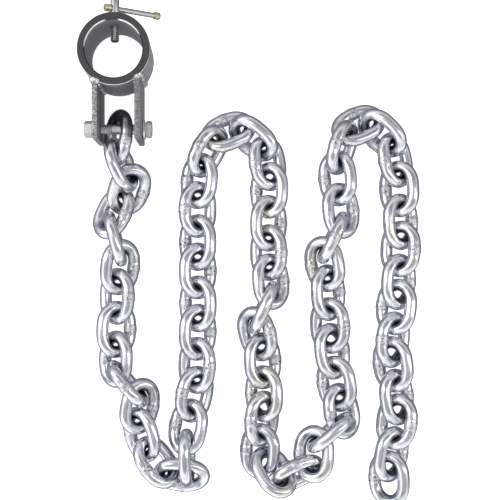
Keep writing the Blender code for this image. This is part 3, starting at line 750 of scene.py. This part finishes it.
def joined(name, meshes):
    """One mesh of several, which keeps their materials."""
    materials = []
    shape = bmesh.new()
    for mesh in meshes:
        places = []
        for material in mesh.materials:
            if material not in materials:
                materials.append(material)
            places.append(materials.index(material))
        start = len(shape.faces)
        shape.from_mesh(mesh)
        shape.faces.ensure_lookup_table()
        for face in shape.faces[start:]:
            face.material_index = places[face.material_index]
    return mesh_of(shape, name, materials)


def hexagon_mesh(name, corner, thickness, material, bore=0):
    """A hexagon bar's slice along Z, its corners turned off at both ends, with a hole if bore is given."""
    top = thickness / 2
    flat = corner * math.cos(math.pi / 6)
    face_radius = flat - HEXAGON_CHAMFER / 2
    slope = HEXAGON_CHAMFER * 1.4 / (corner * 1.02 - face_radius)
    shape = bmesh.new()
    slices = []
    for count in range(ROUND_SIDES):
        angle = 2 * math.pi * count / ROUND_SIDES
        side = flat / math.cos((angle + math.pi / 6) % (math.pi / 3) - math.pi / 6)
        shoulder = top - (side - face_radius) * slope
        outline = [(face_radius, top), (side, shoulder), (side, -shoulder), (face_radius, -top)]
        if bore:
            outline += [(bore, -top), (bore, top)]
        slices.append([shape.verts.new((radius * math.cos(angle), radius * math.sin(angle), height))
                       for radius, height in outline])
    for one, other in zip(slices, slices[1:] + slices[:1]):
        for row in range(6 if bore else 3):
            after = (row + 1) % len(one)
            shape.faces.new((one[row], one[after], other[after], other[row]))
    if not bore:
        shape.faces.new([points[0] for points in slices])
        shape.faces.new([points[-1] for points in slices])
    bmesh.ops.recalc_face_normals(shape, faces=shape.faces)
    return mesh_of(shape, name, [material])


def rod_cutter(radius, start, end, sides=ROD_SIDES):
    """An object in the shape of a straight rod, to cut a hole with."""
    start, end = Vector(start), Vector(end)
    length = (end - start).length
    outline = [(0, 0), (radius, 0), (radius, length), (0, length)]
    return start_object("rod", aim_mesh(turned_mesh("rod", outline, sides), start, end - start))


def thread_mesh(radius, depth, length, pitch, material):
    """The ridge of a thread along Z from the origin, its crest at the radius."""
    tree = bpy.data.node_groups.get("Thread Ridge") or thread_tree()
    return grown_mesh(tree, {"Core Radius": radius - depth, "Depth": depth, "Length": length, "Pitch": pitch,
                             "Material": material})


# Pieces

class LinkPlaces:
    """Place, angles and number of each link, read from the CAD solids."""

    def __init__(self, pair_pitch):
        self.rows = []
        self.nodes = {}
        for name in sorted(frame["nodes"]):
            if not name.startswith("chain_link"):
                continue
            numbers = [int(part) for part in name.split("_")[2:]]
            points = node_points(name)
            centre, axes = own_axes(points)
            self.nodes[name] = numbers[0]
            if len(numbers) == 1:
                self.add(numbers[0], centre, axes, 0)
                continue
            own = (points - centre) @ axes
            lean = -math.copysign(LINK_LEAN, own.prod(axis=1).sum())
            half_pitch = axes[:, 0] * pair_pitch / 2
            self.add(numbers[0], centre - half_pitch, axes, lean)
            self.add(numbers[1], centre + half_pitch, axes, -lean)
        self.rows.sort(key=lambda row: row[0])

    def add(self, number, centre, axes, roll):
        """Adds one link, its welded leg the lower one, or the upper one of every third link."""
        turn = Matrix(axes.tolist()) @ Matrix.Rotation(roll, 3, 'X')
        if (turn[2][1] > 0) != (number % 3 == 1):
            turn = turn @ Matrix.Rotation(math.pi, 3, 'X')
        self.rows.append((number, Vector(centre), turn.to_euler()))

    def run(self, first, last):
        """Points for one run's links, their angles as "turn" and whether each is the chain's first link."""
        rows = [row for row in self.rows if first <= row[0] <= last]
        mesh = bpy.data.meshes.new("places")
        mesh.from_pydata([row[1] for row in rows], [], [])
        turn = mesh.attributes.new("turn", 'FLOAT_VECTOR', 'POINT')
        for entry, row in zip(turn.data, rows):
            entry.vector = row[2]
        first_link = mesh.attributes.new("first", 'FLOAT', 'POINT')
        for entry, row in zip(first_link.data, rows):
            entry.value = float(row[0] == 1)
        return mesh


class CHAIN_OT_build_links(bpy.types.Operator):
    """Builds the welded links of round wire in the places of the CAD links"""

    bl_idname = "chain.build_links"
    bl_label = "Chain Links"

    def execute(self, context):
        sizes = context.scene.chain_sizes
        places = LinkPlaces(sizes.pair_pitch)
        zinc = bright_zinc(context.scene.finish_colours)
        tree = link_tree()
        bolt_y = round_span("bolt", RIGHT)[0].y
        first = 1
        for count, last in enumerate(RUN_ENDS, start=1):
            mesh = grown_mesh(tree, {
                "Wire Diameter": sizes.wire_diameter, "Inner Length": sizes.inner_length,
                "Outer Width": sizes.outer_width, "Oval": sizes.oval, "Weld Width": sizes.weld_width,
                "Weld Height": sizes.weld_height, "Bolt Y": bolt_y, "Wire Sides": sizes.wire_sides,
                "Outline Steps": sizes.outline_steps, "Seed": sizes.seed + count, "Material": zinc},
                              places.run(first, last))
            nodes = [name for name, number in places.nodes.items() if first <= number <= last]
            add_piece(f"chain_run_{count}", mesh, "chain", nodes, sharp=SHARP_WIRE)
            first = last + 1
        return {'FINISHED'}


class CHAIN_OT_build_collar(bpy.types.Operator):
    """Builds the collar's ring with its bore, screw hole and chamfer, the two lugs and their weld beads"""

    bl_idname = "chain.build_collar"
    bl_label = "Collar"

    def execute(self, context):
        sizes = context.scene.collar_sizes
        clearance = context.scene.hardware_sizes.clearance
        colours = context.scene.finish_colours
        low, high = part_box("collar_ring")
        centre = (low + high) / 2
        outer = (high.x - low.x) / 2
        screw = round_span("clamp_screw", joint_axis("screw_advance"))
        ring = self.ring_mesh(sizes, colours, centre, outer, high.z - low.z, screw[0].x)
        ring.transform(Matrix.Translation((centre.x, centre.y, low.z)))
        inside, outside = screw[0].copy(), screw[0].copy()
        inside.y = centre.y
        outside.y = high.y + OVERRUN
        hole = rod_cutter(screw[2] + clearance, inside, outside)
        add_piece("ring", modified(ring, cut("screw_hole", hole)), "collar", ["collar_ring"])
        self.build_lugs(centre, outer, colours, context.scene.hardware_sizes.bolt_diameter / 2 + clearance)
        self.build_beads(sizes, centre, outer, colours)
        return {'FINISHED'}

    def ring_mesh(self, sizes, colours, centre, outer, length, screw_x):
        """The ring on its axis: dark ends, greyer walls, the two set apart partly as painted shade and light,
        a bright front edge and the bore's chamfer with its painted highlight.
        """
        bore, edge, chamfer = sizes.bore / 2, sizes.edge_break, sizes.bore_chamfer
        outline = [(outer, edge), (outer, length - edge), (outer - edge, length), (bore + chamfer, length),
                   (bore, length - chamfer), (bore, edge), (bore + edge, 0), (outer - edge, 0)]
        ring = turned_mesh("collar_ring", outline, RING_SIDES, mill_scale("mill_scale", colours.mill_scale))
        for finish in (mill_scale("wall_steel_and_painted_light", colours.wall_steel_and_painted_light),
                       plain_metal("turned_edge", colours.dull_zinc, 0.3, "edge_marks"),
                       chamfer_highlight(colours, centre, screw_x)):
            ring.materials.append(finish)
        # Steep faces take the lighter wall colour and the end faces keep the darker one, partly painted light
        # and shade; at the front the outer edge break takes the bright edge and the bore's chamfer its
        # painted highlight
        for face in ring.polygons:
            steepness = abs(face.normal.z)
            if steepness < 0.5:
                face.material_index = 1
            elif steepness < 0.9 and face.center.z > length / 2:
                face.material_index = 2 if face.center.xy.length > (outer + bore) / 2 else 3
        return ring

    def build_lugs(self, centre, outer, colours, hole_radius):
        """The lugs, their backs fitted to the ring, with sawn edges and a rolled skin on their sides."""
        skin = rolled_skin(colours)
        bolt = round_span("nut", RIGHT)[0]
        for name, (shade, contrast) in LUG_EDGES.items():
            low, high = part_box(name)
            shape = bmesh.new()
            bmesh.ops.create_cube(shape, size=1)
            bmesh.ops.scale(shape, vec=high - low, verts=shape.verts)
            bmesh.ops.translate(shape, vec=(high + low) / 2, verts=shape.verts)
            steel = sawn_steel(f"{name}_edges", *shades(colours.sawn_steel, shade), contrast)
            seat = rod_cutter(outer, (centre.x, centre.y, low.z - OVERRUN),
                              (centre.x, centre.y, high.z + OVERRUN), RING_SIDES)
            hole = rod_cutter(hole_radius, (low.x - OVERRUN, bolt.y, bolt.z),
                              (high.x + OVERRUN, bolt.y, bolt.z))
            mesh = modified(mesh_of(shape, name, [steel]), ("rounding", 'BEVEL', LUG_ROUNDING),
                            cut("seat", seat), cut("hole", hole))
            mesh.materials.append(skin)
            for face in mesh.polygons:
                face.material_index = int(abs(face.normal.x) > 0.7 or face.normal.y > 0.5)
            add_piece(f"{name}_plate", mesh, "collar", [name])

    def build_beads(self, sizes, centre, outer, colours):
        """Beads where the lugs meet the ring: along both sides of each, and a short one across its front."""
        lines = []
        for name in LUG_EDGES:
            low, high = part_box(name)
            corners = []
            for side in (low.x, high.x):
                y = centre.y - math.sqrt(max(outer ** 2 - (side - centre.x) ** 2, 0))
                corners.append((side, y))
                lines.append(((side, y, low.z + BEAD_INSET), (side, y, high.z - BEAD_INSET)))
            (left, left_y), (right, right_y) = corners
            front = high.z - sizes.bead_radius * 0.8
            lines.append(((left - BEAD_INSET, left_y, front), (right + BEAD_INSET, right_y, front)))
        paths = bpy.data.meshes.new("bead_paths")
        paths.from_pydata([point for line in lines for point in line],
                          [(2 * index, 2 * index + 1) for index in range(len(lines))], [])
        beads = grown_mesh(bead_tree(), {"Bead Radius": sizes.bead_radius, "Ripple": BEAD_RIPPLE,
                                         "Seed": BEAD_SEED, "Material": weld_steel(colours)}, paths)
        add_piece("weld_beads", beads, "collar", [])


class CHAIN_OT_build_bolt(bpy.types.Operator):
    """Builds the bolt that the chain hangs on, with its thread, nut and washer"""

    bl_idname = "chain.build_bolt"
    bl_label = "Bolt, Nut and Washer"

    def execute(self, context):
        sizes = context.scene.hardware_sizes
        colours = context.scene.finish_colours
        zinc = plain_metal("dull_zinc", colours.dull_zinc, 0.34)
        radius = sizes.bolt_diameter / 2
        # The bolt's thread core is dark as painted shade between the ridge's turns
        self.build_bolt(sizes, radius, zinc, plain_metal("thread_root_shade", colours.thread_shade_and_weld_scale, 0.35))
        start, end, corner = round_span("nut", RIGHT)
        nut = hexagon_mesh("nut", corner, (end - start).length, zinc, radius + SNUG)
        add_piece("hex_nut", aim_mesh(nut, (start + end) / 2, RIGHT), "collar", ["nut"])
        self.build_washer(radius + sizes.clearance, zinc)
        return {'FINISHED'}

    def build_bolt(self, sizes, radius, zinc, dark):
        """The bolt: a shank with its thread at the nut's end, and a hexagon head."""
        start, end, corner = round_span("bolt", RIGHT)
        length, depth = (end - start).length, sizes.thread_depth
        shank_length = length - sizes.head_thickness
        threaded = shank_length * THREADED_BOLT
        outline = [(0, 0), (radius - 2 * depth, 0), (radius - depth, depth), (radius - depth, threaded),
                   (radius, threaded + depth), (radius, shank_length + depth), (0, shank_length + depth)]
        shank = threaded_core("shank", outline, threaded, zinc, dark)
        thread = thread_mesh(radius, depth, threaded, sizes.bolt_pitch, zinc)
        head = hexagon_mesh("head", corner, sizes.head_thickness, zinc)
        head.transform(Matrix.Translation((0, 0, length - sizes.head_thickness / 2)))
        bolt = aim_mesh(joined("hanger_bolt", [shank, thread, head]), start, RIGHT)
        add_piece("hanger_bolt", bolt, "collar", ["bolt"])

    def build_washer(self, inner, zinc):
        """The loose washer, turned as its CAD solid lies."""
        points = node_points("washer")
        middle, axes = own_axes(points)
        own = (points - middle) @ axes
        outer = float(np.linalg.norm(own[:, :2], axis=1).max())
        half, edge = float(np.abs(own[:, 2]).max()), WASHER_EDGE
        outline = [(outer, -half + edge), (outer, half - edge), (outer - edge, half), (inner + edge, half),
                   (inner, half - edge), (inner, -half + edge), (inner + edge, -half), (outer - edge, -half)]
        washer = aim_mesh(turned_mesh("washer", outline, ROUND_SIDES, zinc), middle, axes[:, 2])
        add_piece("plain_washer", washer, "collar", ["washer"])


class CHAIN_OT_build_clamp_screw(bpy.types.Operator):
    """Builds the threaded clamp screw with its chamfered tip and the cross hole for the bar"""

    bl_idname = "chain.build_clamp_screw"
    bl_label = "Clamp Screw"

    def execute(self, context):
        sizes = context.scene.hardware_sizes
        colours = context.scene.finish_colours
        steel = plain_metal("screw_steel", colours.bare_steel, 0.3)
        # The screw's thread core is dark as painted shade between the ridge's turns
        dark = plain_metal("thread_shade_and_weld_scale", colours.thread_shade_and_weld_scale, 0.35)
        crest = plain_metal("screw_thread", colours.dull_zinc, 0.3)
        forward = Vector((0, 1, 0))
        tip, top, radius = round_span("clamp_screw", forward)
        length, depth, plain = (top - tip).length, sizes.thread_depth, radius - 0.2 * MM
        threaded = length * THREADED_SCREW
        outline = [(0, 0), (radius - 1.5 * MM, 0), (radius - depth, 1.2 * MM),
                   (radius - depth, threaded), (plain, threaded + depth), (plain, length - 0.8 * MM),
                   (radius - 1 * MM, length), (0, length)]
        core = aim_mesh(threaded_core("core", outline, threaded, steel, dark), tip, forward)
        direction = joint_axis("bar_slide")
        bar_start = round_span("t_bar", direction)[0]
        crossing = bar_start + direction * (tip.x - bar_start.x) / direction.x
        reach = direction * 3 * radius
        hole = rod_cutter(sizes.bar_diameter / 2 + sizes.clearance, crossing - reach, crossing + reach)
        thread = thread_mesh(radius, depth, threaded - SCREW_TIP, sizes.screw_pitch, crest)
        thread.transform(Matrix.Translation((0, 0, SCREW_TIP)))
        screw = joined("threaded_screw",
                       [modified(core, cut("bar_hole", hole)), aim_mesh(thread, tip, forward)])
        add_piece("threaded_screw", screw, "clamp_screw", ["clamp_screw"])
        return {'FINISHED'}


class CHAIN_OT_build_bar(bpy.types.Operator):
    """Builds the sliding bar of the clamp screw and its two caps"""

    bl_idname = "chain.build_bar"
    bl_label = "Sliding Bar"

    def execute(self, context):
        sizes = context.scene.hardware_sizes
        colours = context.scene.finish_colours
        direction = joint_axis("bar_slide")
        start, end, _ = round_span("t_bar", direction)
        length, radius, edge = (end - start).length, sizes.bar_diameter / 2, BAR_EDGE
        outline = [(0, 0), (radius - edge, 0), (radius, edge),
                   (radius, length - edge), (radius - edge, length), (0, length)]
        steel = plain_metal("drawn_steel", colours.bare_steel, 0.24)
        bar = turned_mesh("sliding_bar", outline, BAR_SIDES, steel)
        add_piece("sliding_bar", aim_mesh(bar, start, direction), "t_bar", ["t_bar"])
        zinc = plain_metal("yellow_zinc", colours.yellow_zinc, 0.36)
        for side, heading in (("left", -direction), ("right", direction)):
            node = f"t_bar_cap_{side}"
            start, end, outer = round_span(node, heading)
            length, hole = (end - start).length, radius + SNUG
            outline = [(hole, 0), (outer - 0.3 * MM, 0), (outer, 0.3 * MM), (outer, length - CAP_EDGE),
                       (outer - CAP_EDGE * 0.3, length - CAP_EDGE * 0.3), (outer - CAP_EDGE, length),
                       (0, length), (0, sizes.cap_depth), (hole, sizes.cap_depth)]
            cap = aim_mesh(turned_mesh(node, outline, BAR_SIDES, zinc), start, heading)
            add_piece(f"cap_{side}", cap, "t_bar", [node])
        return {'FINISHED'}


class CHAIN_OT_build_stage(bpy.types.Operator):
    """Builds the pale floor, the soft studio light and the camera over the chain"""

    bl_idname = "chain.build_stage"
    bl_label = "Stage"

    def execute(self, context):
        shape = bmesh.new()
        bmesh.ops.create_grid(shape, x_segments=1, y_segments=1, size=FLOOR_HALF)
        board = studio_floor(context.scene.finish_colours)
        floor = start_object("studio_floor", mesh_of(shape, "studio_floor", [board]))
        floor.visible_glossy = False
        self.light_world(context.scene)
        for row in SOFTBOXES:
            self.add_softbox(*row)
        camera = bpy.data.cameras.new("camera")
        camera.lens = LENS
        camera.sensor_width = SENSOR
        camera.shift_x = VIEW_SHIFT
        view = start_object("camera", camera)
        view.location = VIEW_PLACE
        view.rotation_euler = VIEW_TURN
        context.scene.camera = view
        context.scene.view_settings.view_transform = 'Standard'
        return {'FINISHED'}

    def add_softbox(self, name, place, size, power):
        """A soft light that faces the object's middle."""
        light = bpy.data.lights.new(name, 'AREA')
        light.shape = 'RECTANGLE'
        light.size, light.size_y = size
        light.energy = power
        item = start_object(name, light)
        item.location = place
        item.rotation_euler = (-Vector(place)).to_track_quat('-Z', 'Y').to_euler()

    def light_world(self, scene):
        """A light tent: grey overhead, bright round the sides, dark below, with a low window in front."""
        world = bpy.data.worlds.new("studio")
        world.use_nodes = True
        tree = world.node_tree
        direction = parts_of(tree, add_node(tree, "ShaderNodeTexCoord").outputs["Generated"])
        ramp = add_node(tree, "ShaderNodeValToRGB", {"Fac": spread(tree, direction["Z"], -1.0, 1.0)})
        stops = ramp.color_ramp.elements
        for count, (place, colour) in enumerate(TENT):
            stop = stops[count] if count < 2 else stops.new(place)
            stop.position = place
            stop.color = (*colour, 1)
        across = spread(tree, direction["X"], -0.8, 0.8, *TENT_SIDES)
        strength = product(tree, across, spread(tree, direction["Y"], -0.9, 0.9, *TENT_ENDS))
        in_front = spread(tree, direction["Y"], *WINDOW_FRONT, 1.0, 0.0)
        near_level = spread(tree, math_node(tree, 'ABSOLUTE', direction["Z"]), *WINDOW_HEIGHT, WINDOW, 0.0)
        glow = product(tree, in_front, near_level)
        window = add_node(tree, "ShaderNodeCombineXYZ", {"X": glow, "Y": glow, "Z": glow}).outputs[0]
        tent = add_node(tree, "ShaderNodeVectorMath", {0: ramp.outputs[0], "Scale": strength},
                        operation='SCALE').outputs[0]
        light = add_node(tree, "ShaderNodeVectorMath", {0: tent, 1: window}, operation='ADD')
        tree.links.new(light.outputs[0], tree.nodes["Background"].inputs["Color"])
        scene.world = world


class CHAIN_PT_panel(bpy.types.Panel):
    """Sizes, colours and builders of the chain and its collar"""

    bl_idname = "CHAIN_PT_panel"
    bl_label = "Steel Chain"
    bl_space_type = 'VIEW_3D'
    bl_region_type = 'UI'
    bl_category = "Chain"

    def draw(self, context):
        layout = self.layout
        for group in (context.scene.chain_sizes, context.scene.collar_sizes, context.scene.hardware_sizes,
                      context.scene.finish_colours):
            box = layout.box()
            box.label(text=group.bl_rna.description)
            for name in group.bl_rna.properties.keys():
                if name not in ("rna_type", "name"):
                    box.prop(group, name)
        for builder in BUILDERS:
            layout.operator(builder.bl_idname)


BUILDERS = (CHAIN_OT_build_links, CHAIN_OT_build_collar, CHAIN_OT_build_bolt, CHAIN_OT_build_clamp_screw,
            CHAIN_OT_build_bar, CHAIN_OT_build_stage)
GROUPS = (("chain_sizes", ChainSizes), ("collar_sizes", CollarSizes), ("hardware_sizes", HardwareSizes),
          ("finish_colours", FinishColours))


def register():
    for name, group in GROUPS:
        bpy.utils.register_class(group)
        setattr(bpy.types.Scene, name, PointerProperty(type=group))
    for item in (*BUILDERS, CHAIN_PT_panel):
        bpy.utils.register_class(item)


def unregister():
    for item in reversed((*BUILDERS, CHAIN_PT_panel)):
        bpy.utils.unregister_class(item)
    for name, group in reversed(GROUPS):
        delattr(bpy.types.Scene, name)
        bpy.utils.unregister_class(group)


def main():
    register()
    bpy.ops.chain.build_links()
    bpy.ops.chain.build_collar()
    bpy.ops.chain.build_bolt()
    bpy.ops.chain.build_clamp_screw()
    bpy.ops.chain.build_bar()
    bpy.ops.chain.build_stage()


if __name__ == "__main__":
    main()
